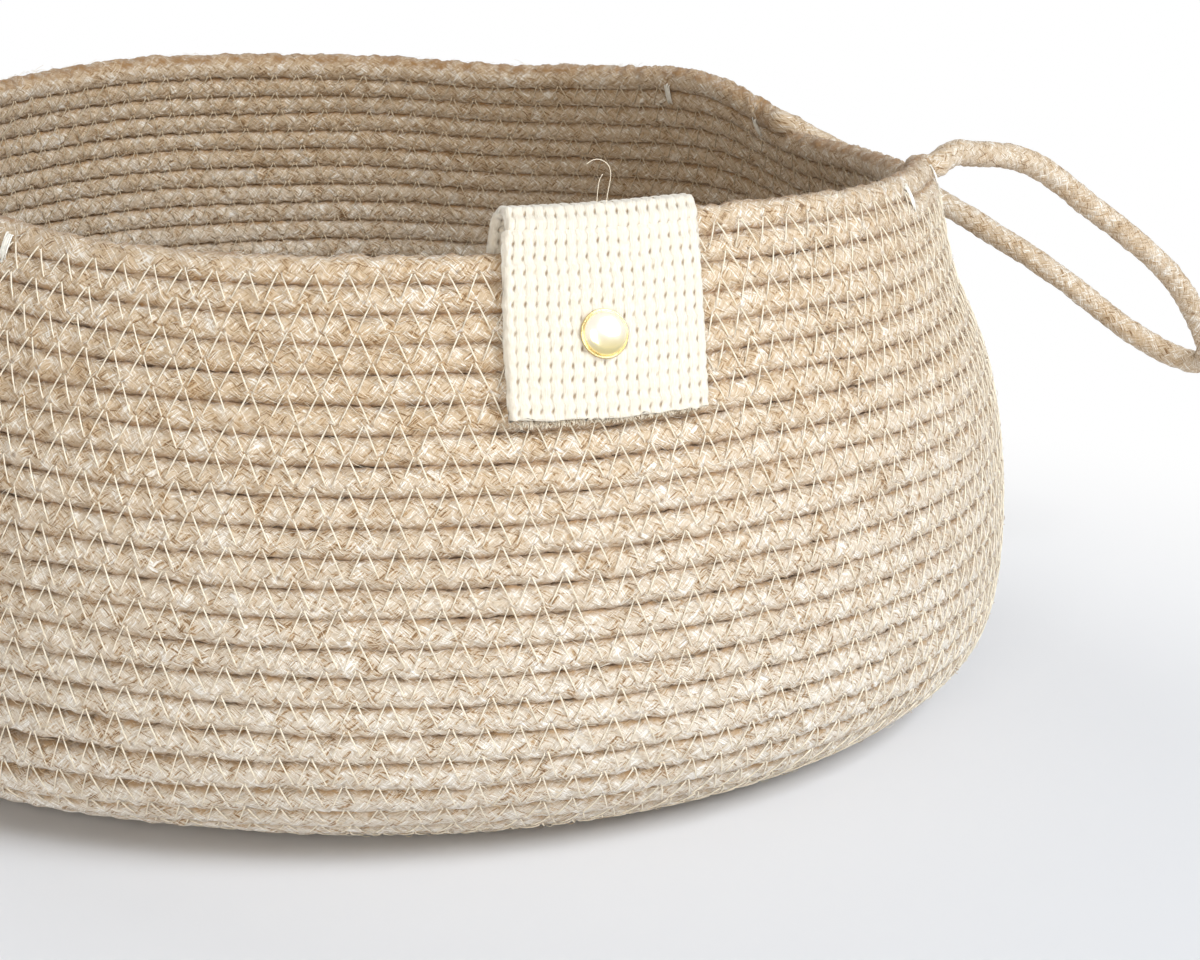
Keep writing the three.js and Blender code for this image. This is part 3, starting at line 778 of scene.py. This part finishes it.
def add_rope(key, node, body="basket"):
    stretch = PATH[key]
    run, turns = stretch.run, stretch.turns
    is_handle = key.startswith("handle")
    edge = np.minimum(run - run[0], run[-1] - run)
    loose = smooth(np.clip(edge / EASE, 0, 1)) if is_handle else np.zeros(len(run))
    loose = loose[:, None]

    def blend(pair):
        return pair[0] + (pair[1] - pair[0]) * loose

    def sewn_only(*waves):
        return uneven(run, *waves)[:, None] * (1 - loose)

    theta = AROUND[None]
    along = run[:, None] + 0 * theta
    cosine = np.cos(theta) + 0 * along
    sine = np.sin(theta) + 0 * along
    phase_above, phase_below = seam_phase(turns)[:, None], seam_phase(turns - 1)[:, None]
    relief = 0.21 * braid(along, theta) + 0.17 * grain(along / 1.9, (theta / TURN * 9) % 9, 9, 3)
    relief = relief + 0.09 * np.cos(TURN * phase_above) * (1 - loose) * np.abs(cosine)
    swell = sewn_only((0.14, 4.2, 14), (0.12, 11, 15))
    wide, high = section(theta, blend(SQUARENESS))
    wide = wide * (blend(HALF_OUT) + uneven(run, (0.05, 6, 1), (0.05, 19, 2))[:, None] + relief)
    high = high * (blend(HALF_UP) + swell + relief * blend(RELIEF_UP))
    sway_out, sway_up = sewn_only((0.16, 23, 11), (0.1, 9, 12)), sewn_only((0.1, 31, 13))
    points = stretch.centres[:, None] + stretch.out[:, None] * (wide + sway_out)[..., None]
    points = points + stretch.up[:, None] * (high + sway_up)[..., None]
    points[..., 2] = np.maximum(points[..., 2], ROPE_FLOOR)

    # Painted bounce light: the colour grows paler towards the foot, and the handles get the rim's level.
    painted_bounce_light = np.clip(1 - points[..., 2] / BOUNCE_LIGHT_HEIGHT, 0, 1) ** BOUNCE_LIGHT_POWER
    if is_handle:
        painted_bounce_light[:] = HANDLE_BOUNCE_LIGHT
    rise = high + UNSEWN * loose
    fields = {
        "lay": np.stack([along, cosine, sine], -1),
        "stitch": np.stack([phase_above + 0 * rise, phase_below + 0 * rise, rise], -1),
        "painted_bounce_light": painted_bounce_light,
    }
    uv = strip_uv(*points.shape[:2], run[-1] - run[0], GIRTH)
    obj = add_tube(f"rope_{key}", points, rope_look, fields, body, uv)
    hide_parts(node)
    return obj


add_rope("base", "base_coil")
for part in ("foot", "belly", "middle_low", "middle_high", "top"):
    add_rope(f"wall_{part}", f"wall_coil_{part.split('_')[0]}")
add_rope("rim_back", "rim_back")
add_rope("rim_front", "rim_front")


def add_handle(side, middle):
    obj = add_rope(f"handle_{side}", f"handle_{side}", body=None)
    hinge, outward = hinge_at(middle)[0], outward_at(middle)
    start, end = (tuple((hinge + outward * reach) * MM) for reach in (-0.5, 22))
    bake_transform(obj)


add_handle("right", RIGHT)
add_handle("left", LEFT)


# Zigzag thread over each seam, outside and inside.
# A leg's start and end, as shares of a stitch, for the legs that rise and the legs that fall.
LEG_PHASES = ((0.07, 0.465), (0.93, 0.535))
# Share of the way along a leg, and distance from the middle of the wall.
LEG_SHAPE = ((0, 1.9), (0.05, 2.72), (0.35, 2.86), (0.65, 2.86), (0.95, 2.72), (1, 1.9))
# Turns without a zigzag: under the handles, and past the rope's end.
GAPS = (
    (LEFT - ROOT_TACK_TURNS, LEFT + ROOT_TACK_TURNS),
    (RIGHT - ROOT_TACK_TURNS, RIGHT + ROOT_TACK_TURNS),
    (0.999 + ROPE_END_TURNS, 3),
)
# How far a leg's start and its end stray along the seam, in stitches, and then up or down.
STRAYS = np.array([[0.03], [0.02], [0.22], [0.22]])
DRIFTS = 8192


def zigzag(face, first_turn, last_turn):
    """Middles of the stitches' legs, as legs by 6 by 3, on the outer face for 1 and the inner for -1."""
    points = np.arange(math.ceil(seam_phase(first_turn)), math.floor(seam_phase(last_turn)))
    drift = np.random.default_rng(17).uniform(-1, 1, (len(STRAYS), DRIFTS)) * STRAYS
    legs = []
    for half, (start, end) in enumerate(LEG_PHASES):
        index = (points * 2 + half) % DRIFTS
        from_turn = np.interp(points + start + drift[0, index], SEAM_PHASE, SEAM_TURNS)
        to_turn = np.interp(points + end + drift[1, index], SEAM_PHASE, SEAM_TURNS) + 1
        low_up = NEEDLE_LOW + drift[2, index]
        high_up = NEEDLE_HIGH + drift[3, index]
        rows = []
        for share, out in LEG_SHAPE:
            bottom = wall_place(from_turn, face * out, low_up)
            top = wall_place(to_turn, face * out, high_up)
            rows.append(bottom * (1 - share) + top * share)
        middle = (from_turn + 1 + to_turn) / 2
        skipped = np.any([(middle > first) & (middle < last) for first, last in GAPS], axis=0)
        legs.append(np.stack(rows, 1)[~skipped])
    legs = np.concatenate(legs)
    legs[..., 2] = np.maximum(legs[..., 2], THREAD_FLOOR)
    return legs


def add_thread(name, face, first_turn, last_turn, radius):
    legs = zigzag(face, first_turn, last_turn)
    obj = add_tubes(name, legs, radius, 4, thread_look if face > 0 else bobbin_look)


THREAD_START = START_TURNS + 0.6
HALF_UP_WALL = -12
add_thread("thread_outer_low", 1, -WALL_LOOPS, HALF_UP_WALL, 0.15)
add_thread("thread_outer_high", 1, HALF_UP_WALL, ROPE_END_TURNS, 0.15)
add_thread("thread_inner_low", -1, -WALL_LOOPS, HALF_UP_WALL, 0.13)
add_thread("thread_inner_high", -1, HALF_UP_WALL, ROPE_END_TURNS, 0.13)
add_thread("thread_base_inside", -1, THREAD_START, -WALL_LOOPS, 0.13)
add_thread("thread_base_under", 1, THREAD_START, -WALL_LOOPS, 0.12)


# Bar tacks: bundles of thread from the middle of the top row to the middle of the row below.
TACK_SHAPE = ((0, 1.9), (0.04, 2.8), (0.25, 2.95), (0.5, 2.98), (0.75, 2.95), (0.96, 2.8), (1, 1.9))
TACK_STRANDS = 6
TACK_SPREAD = 1.15


def seed_of(name):
    return sum((i + 1) * ord(letter) for i, letter in enumerate(name))


def add_tack(name, turns, node):
    random = np.random.default_rng(seed_of(name))
    strands = []
    for face in (1, -1):
        for shift in np.linspace(-0.5, 0.5, TACK_STRANDS):
            lean = random.uniform(-0.15, 0.15, 2)
            at = turns + (shift + lean) * TACK_SPREAD / (TURN * RIM_RADIUS)
            top_up, low_up = random.uniform(-0.5, 0.5), random.uniform(-0.5, 0.5)
            line = []
            for share, out in TACK_SHAPE:
                out = out + random.uniform(-0.05, 0.08)
                top = wall_place(at[0], face * out, top_up)
                low = wall_place(at[1] - 1, face * out, low_up)
                line.append(top * (1 - share) + low * share)
            strands.append(line)
    obj = add_tubes(name, strands, 0.17, 6, tack_look)
    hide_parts(node)


for side, middle, front in (("left", LEFT, -1), ("right", RIGHT, 1)):
    for leg, sign in (("front", front), ("back", -front)):
        for end, turns in (("root", ROOT_TACK_TURNS), ("end", END_TACK_TURNS)):
            add_tack(f"bar_tack_{side}_{leg}_{end}", middle + sign * turns, f"tack_{side}_{leg}_{end}")


# The tab: woven webbing folded over the rim. Its yarns' spacing along it and across it.
WEFT, WARP = 2.72, 1.95
# Thickness of the webbing without the weave's relief.
TAB_THICK = 2.0
# Length over which its side edges are rounded, and the number of yarn ends at each cut edge.
TAB_EDGE = 1.0
CUT_ENDS = 190


def tab_line():
    """Middle of the webbing from its front end over the rim to its back end, as radius and height."""
    offset = HALF_ROPE + TAB_GAP + WEBBING_THICK / 2

    def leg(face, shares):
        for share in shares:
            radius, height, steer = line_at(RIM_LENGTH + ROW_PITCH - TAB_LEG * share)
            yield radius + face * offset * math.sin(steer), height - face * offset * math.cos(steer)

    radius, height, _ = line_at(RIM_LENGTH + ROW_PITCH)
    line = list(leg(1, np.linspace(1, 0, 40)))
    for angle in np.linspace(0, TURN / 2, 30)[1:-1]:
        line.append((radius + offset * math.cos(angle), height + TAB_FOLD_RISE * math.sin(angle)))
    line += leg(-1, np.linspace(0, 1, 40))
    return spaced(np.array(line), TAB_SPACING), lengths_along(np.array(line))[-1]


def weave(u, v):
    """Relief of the webbing, its row and its column, at u along it and v across it."""
    row = u / WEFT + 0.1 * wander(v, 7, 27)
    step = np.round(row - 0.5).astype(int)
    column = v / WARP + 0.12 * np.random.default_rng(29).uniform(-1, 1, 64)[step % 64]
    rib = np.abs(np.sin(math.pi * column)) ** 0.8
    bulge = (0.5 + 0.5 * np.cos(TURN * row)) * (1 + 0.3 * wander(u * 3 + v, 1.9, 28))
    off = (column - np.round(column)) * WARP / 0.32
    away = (row - 0.5 - step) * WEFT / 0.55
    pin = np.exp(-(off**2) - away**2)
    return 0.09 * rib + 0.34 * bulge * (0.65 + 0.35 * rib) - 0.22 * pin - 0.12, row, column


def webbing_material():
    n = Material("cotton_webbing", 0.9, 0.3)
    row, column, face = n.fields("cloth")
    yarn = n.noise(n.vector(row * 1.7, column * 9.0, face), 1.0, 3, 0.6)
    mottle = n.noise(n.place(), 220, 2)
    # Painted shade in the pinholes where the yarns cross, each a little out of line, and in the grooves
    # between the yarns along the webbing.
    nearest = n.math("ROUND", column)
    cell = n.vector(n.math("FLOOR", row), nearest, face)
    sideways, endways, depth = n.split(n.value("ShaderNodeTexWhiteNoise", {"Vector": cell}, "Color"))
    away = (n.math("FRACT", row) - 0.5) * WEFT - (endways - 0.5) * 0.5
    off = (column - nearest) * WARP
    line = 1.0 - n.step(abs(off), 0.03, 0.26)
    off = off - (sideways - 0.5) * 0.4 - away * 0.22
    wide, tall = off / 0.27, away / 0.62
    far = n.math("SQRT", wide * wide + tall * tall)
    pin = (1.0 - n.step(far, 0.1, 1.2)) * (depth * 0.7 + 0.3)
    base = n.mix(n.step(yarn, 0.3, 0.75), linear(224, 212, 192), linear(240, 233, 218))
    base = n.mix(n.step(mottle, 0.45, 0.8), base, linear(232, 221, 202))
    # Painted shade: the grooves and then the pinholes are darkened towards brown.
    base = n.mix(line * 0.12, base, linear(170, 140, 104))
    n.put("Base Color", n.mix(pin, base, linear(166, 134, 94)))
    n.bump(yarn - (pin * 1.6 + line * 0.3), 0.8, 0.0003)
    return n.material


def cloth_face(side, u, v, line, step, normal):
    """Points and "cloth" field of the webbing's upper face for 1 and its lower face for -1."""
    edge = np.clip((TAB_WIDTH / 2 - np.abs(v)) / TAB_EDGE, 0, 1)
    edge = np.sqrt(1 - (1 - edge) ** 2)[None]
    # The fold lies a little to the right of the ends, and pulls the left edge in.
    middle = 1 - np.abs(u / u[-1] * 2 - 1)[:, None]
    pull = TAB_PULL * np.exp(-(((u - u[-1] / 2) / TAB_PULL_LENGTH) ** 2))[:, None]
    relief, row, column = weave(u[:, None], v[None] + 50)
    sag = uneven(u, (0.25, 13, 21))[:, None] * np.abs(v[None] / TAB_WIDTH * 2) ** 2
    thick = side * (TAB_THICK / 2 + relief) * edge + sag
    r = line[:, 0, None] + normal[:, 0, None] * thick
    z = line[:, 1, None] + normal[:, 1, None] * thick
    for end, way in ((0, 1), (-1, -1)):
        ragged = way * uneven(v, (0.35, 1.1, 31), (0.25, 4, 32))
        r[end] = r[end] + ragged * step[end, 0]
        z[end] = z[end] + ragged * step[end, 1]
    rough = uneven(u, (0.16, 1.36, 33), (0.18, 6, 34))[:, None]
    wide = v[None] + rough * np.sign(v[None]) * (1 - edge)
    wide = wide + pull * np.clip(-v[None] / TAB_WIDTH * 2, 0, 1)
    points = on_wall((wide + TAB_SHIFT + TAB_FOLD_SHIFT * middle) / r, r, z - TAB_TILT * wide)
    return points, np.stack([row + 0 * column, column + 0 * row, side * 9.0 + 0 * r], -1)


def add_cut_ends(line, step, normal):
    """Short ends of yarn along the two cut edges of the tab."""
    random = np.random.default_rng(41)
    half = TAB_WIDTH / 2 - 0.6
    limits = ((-half, half), (-0.8, 0.8), (0.3, 1.1), (-0.5, 0.5), (-0.3, 0.3))
    tufts = []
    for end, way in ((0, -1), (-1, 1)):
        for _ in range(CUT_ENDS):
            across, depth, reach, lean, flare = (random.uniform(least, most) for least, most in limits)
            tuft = []
            for share in (-0.5, 0, 0.5, 1):
                r, z = line[end] + normal[end] * (depth + flare * share) + way * step[end] * reach * share
                tuft.append(on_wall((across + TAB_SHIFT + lean * share**2) / r, r, z))
            tufts.append(tuft)
    fringe = add_tubes("webbing_cut_ends", tufts, 0.09, 4, thread_look)
    return fringe


def add_tab():
    line, length = tab_line()
    step = unit(np.gradient(line, axis=0))
    normal = np.stack([step[:, 1], -step[:, 0]], -1)
    u = np.linspace(0, length, len(line))
    v = np.linspace(-TAB_WIDTH / 2, TAB_WIDTH / 2, round(TAB_WIDTH / TAB_SPACING) + 1)
    faces = [cloth_face(side, u, side * v, line, step, normal) for side in (1, -1)]
    points, cloth = (np.concatenate(parts, 1) for parts in zip(*faces))
    obj = add_tube("webbing_tab", points, webbing_material(), {"cloth": cloth})
    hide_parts("front_tab")
    fringe = add_cut_ends(line, step, normal)
    round(length * MM, 4)


add_tab()


# Loose fibres that curl up from the tab's fold.
def add_curl(name, points):
    strand = add_tubes(name, [spline(points, 0.4)], 0.07, 5, fibre_look, {"shade": np.array([0.7])})


add_curl("loose_fibre_long", [
    (5.3, -113, 117), (5.8, -113, 120.6), (6.1, -113, 122.9),
    (5.4, -113, 124.7), (3.3, -113, 125.6), (1.5, -113, 124.8),
])
add_curl("loose_fibre_short", [
    (3.6, -113, 117), (3.8, -113, 120.6), (4.1, -113, 122.1), (4.6, -113, 122.9),
])


# The rivet, turned about its line through the wall.
def brass_material():
    n = Material("pale_brass_painted_highlight", 0.2)
    n.put("Metallic", 1.0)
    smear = n.noise(n.place(), 600, 3)
    edge, fall, _ = n.fields("place")
    # Painted highlight: the dome is near white towards its top and pale yellow lower down, and its edge
    # keeps the brass's own gold.
    dome_with_highlight = n.mix(n.step(fall, -0.75, 0.15), linear(238, 222, 164), linear(253, 247, 230))
    n.put("Base Color", n.mix(n.step(edge, 0.87, 0.91), dome_with_highlight, linear(212, 190, 138)))
    n.put("Roughness", n.either(n.step(smear, 0.3, 0.8), 0.16, 0.3))
    n.bump(smear, 0.05, 0.0001)
    return n.material


brass_look = brass_material()
# Radius of a head's edge, where the first number of the "place" field is 1.
HEAD_RADIUS = 4.4


def rivet_frame():
    """The rivet's place in the middle of the wall, and the way square to the wall there."""
    def front(rows):
        return on_wall(RIVET_SHIFT / RIM_RADIUS, *line_at(RIM_LENGTH - rows * ROW_PITCH)[:2])

    slope = unit(front(RIVET_ROWS - 1) - front(RIVET_ROWS + 1))
    return front(RIVET_ROWS), unit(np.array([0, -slope[2], slope[1]]))


def add_turned(name, node, seat, outline):
    """A piece turned about the rivet's line, from pairs of a radius and a distance from the seat."""
    middle, out = rivet_frame()
    side = np.array([1.0, 0, 0])
    outline = spline(outline, 0.12)
    radius, along = np.maximum(outline[:, :1], 0.01), seat + outline[:, 1:]
    angle = np.arange(64) / 64 * TURN
    ring = np.cos(angle)[:, None] * side + np.sin(angle)[:, None] * np.cross(side, out)
    points = middle + radius[..., None] * ring + along[..., None] * out
    edge = np.broadcast_to(radius / HEAD_RADIUS, points.shape[:2])
    # The second number grows towards the top of each head, where the material paints a highlight.
    place = np.stack([edge, -edge * np.sin(angle), 0 * edge], -1)
    obj = add_tube(name, points, brass_look, {"place": place})
    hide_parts(node)


# The heads lie on the webbing, this far from the middle of the wall.
SEAT = HALF_ROPE + TAB_GAP + WEBBING_THICK + 0.1
POST = 1.5
add_turned("brass_cap", "rivet_cap", SEAT, [
    (0, 0.2), (3.9, 0.2), (4.2, 0.15), (4.38, 0.35), (4.36, 0.62), (4.2, 0.76), (4.04, 0.66),
    (3.96, 0.62), (3.9, 0.8), (3.8, 1.2), (3.3, 1.85), (2.4, 2.3), (1.2, 2.53), (0, 2.6),
])
add_turned("brass_stud", "rivet_stud", -SEAT, [
    (0, -2.3), (1.4, -2.25), (2.6, -2.0), (3.5, -1.6), (4.2, -1.0), (4.4, -0.6), (4.2, -0.3),
    (3.6, -0.25), (2.2, -0.25), (POST, 0), (POST, 1), (POST, SEAT), (POST, 2 * SEAT - 0.2),
    (1.3, 2 * SEAT + 0.1), (0, 2 * SEAT + 0.12),
])


# Loose fibres standing off the rope.
FIBRE_LENGTHS = (1.5, 4.5)
FIBRE_TAPER = np.array([0.7, 1, 1, 0.9, 0.45])
MEAN_RADIUS = 118


def add_fibres(name, count, seed, turns_range, face=1, radius=0.035, reach=(0.25, 0.9)):
    random = np.random.default_rng(seed)
    turns = random.uniform(*turns_range, count)
    theta = random.uniform(-1.15, 1.15, count) + (0 if face > 0 else math.pi)
    size = random.uniform(*FIBRE_LENGTHS, count)
    heading = random.choice([-1, 1], count) * random.uniform(0.7, 1.0, count)
    climb = random.uniform(-0.75, 0.75, count)
    lift = random.uniform(*reach, count) * random.uniform(0.3, 1.0, count)
    curl = random.uniform(-0.6, 0.6, count)
    wide, high = section(theta, 2.7)
    rows = []
    for share in np.linspace(0, 1, len(FIBRE_TAPER)):
        go = size * (share - 0.5)
        rooted = 0.1 * (share < 0.1)
        out = wide * HALF_ROPE + face * (lift * math.sin(math.pi * min(1, share * 1.25)) - rooted)
        up = high * HALF_ROPE + climb * go + curl * (share - 0.5) ** 2 * size
        rows.append(wall_place(turns + go * heading / (TURN * MEAN_RADIUS), out, up))
    strands = np.stack(rows, 1)
    strands[..., 2] = np.maximum(strands[..., 2], FIBRE_FLOOR)
    thin = radius * random.uniform(0.6, 1.2, count)[:, None] * FIBRE_TAPER
    obj = add_tubes(name, strands, thin, 3, fibre_look, {"shade": random.uniform(0, 1, count)})


LAST_TURN = 0.16
add_fibres("rope_fuzz_outside_low", 7000, 51, (-WALL_LOOPS, HALF_UP_WALL), radius=0.05)
add_fibres("rope_fuzz_outside_middle", 7000, 56, (-WALL_LOOPS, LAST_TURN), radius=0.05)
add_fibres("rope_fuzz_outside_high", 7000, 52, (HALF_UP_WALL, LAST_TURN), radius=0.05)
add_fibres("rope_fuzz_inside", 3000, 53, (-WALL_LOOPS, LAST_TURN), face=-1)
add_fibres("rope_fuzz_rim_back", 260, 54, (0.35, 0.65), reach=(0.4, 1.2))
add_fibres("rope_fuzz_rim_front", 160, 55, (0.85, 0.96), reach=(0.4, 1.2))


# Floor and light, in metres.
def add_floor():
    """A level floor, which turns white for the camera between 0.2 and 0.42 from its middle."""
    mesh = bpy.data.meshes.new("floor")
    mesh.from_pydata([(-6, -6, 0), (6, -6, 0), (6, 8, 0), (-6, 8, 0)], [], [(0, 1, 2, 3)])
    n = Material("floor", 0.9)
    n.put("Base Color", linear(228, 227, 228))
    n.put("Specular IOR Level", 0.1)
    away = n.value("ShaderNodeVectorMath", {0: n.place()}, "Value", operation="LENGTH")
    glow = n.value("ShaderNodeEmission", {"Color": WHITE})
    both = n.white_to_the_eye(Value(n, n.shader.outputs[0]), glow, n.step(away, 0.2, 0.42))
    n.link(both, n.tree.nodes["Material Output"].inputs["Surface"])
    floor = add_object("floor", mesh, n.material, None)
    floor.location = (-0.06, -0.2, 0)


def add_world(level):
    """Even light of this level from all round, in front of a white background."""
    world = bpy.data.worlds.new("studio")
    scene.world = world
    world.use_nodes = True
    n = Nodes(world.node_tree)
    soft = n.tree.nodes["Background"]
    n.link(WHITE, soft.inputs["Color"])
    n.link(level, soft.inputs["Strength"])
    white = n.value("ShaderNodeBackground", {"Color": WHITE, "Strength": 1.0})
    both = n.white_to_the_eye(Value(n, soft.outputs[0]), white)
    n.link(both, n.tree.nodes["World Output"].inputs["Surface"])


def add_lamp(name, place, target, size, power, colour):
    data = bpy.data.lights.new(name, "AREA")
    data.size = size
    data.energy = power
    data.color = colour
    lamp = bpy.data.objects.new(name, data)
    lamp.location = place
    lamp.rotation_euler = (Vector(target) - Vector(place)).to_track_quat("-Z", "Y").to_euler()
    scene.collection.objects.link(lamp)


add_floor()
add_world(0.22)
add_lamp("key", (0.74, -1.0, 1.05), (0, 0, 0.05), size=0.8, power=24.8, colour=(0.87, 0.935, 1))
add_lamp("fill", (-0.8, -1.55, 0.5), (0, 0, 0.04), size=1.0, power=15.5, colour=(1, 0.97, 0.91))
add_lamp("back", (-0.5, 1.5, 0.9), (0, 0, 0.05), size=1.0, power=9, colour=(1, 1, 1))

scene.view_settings.view_transform = "Standard"
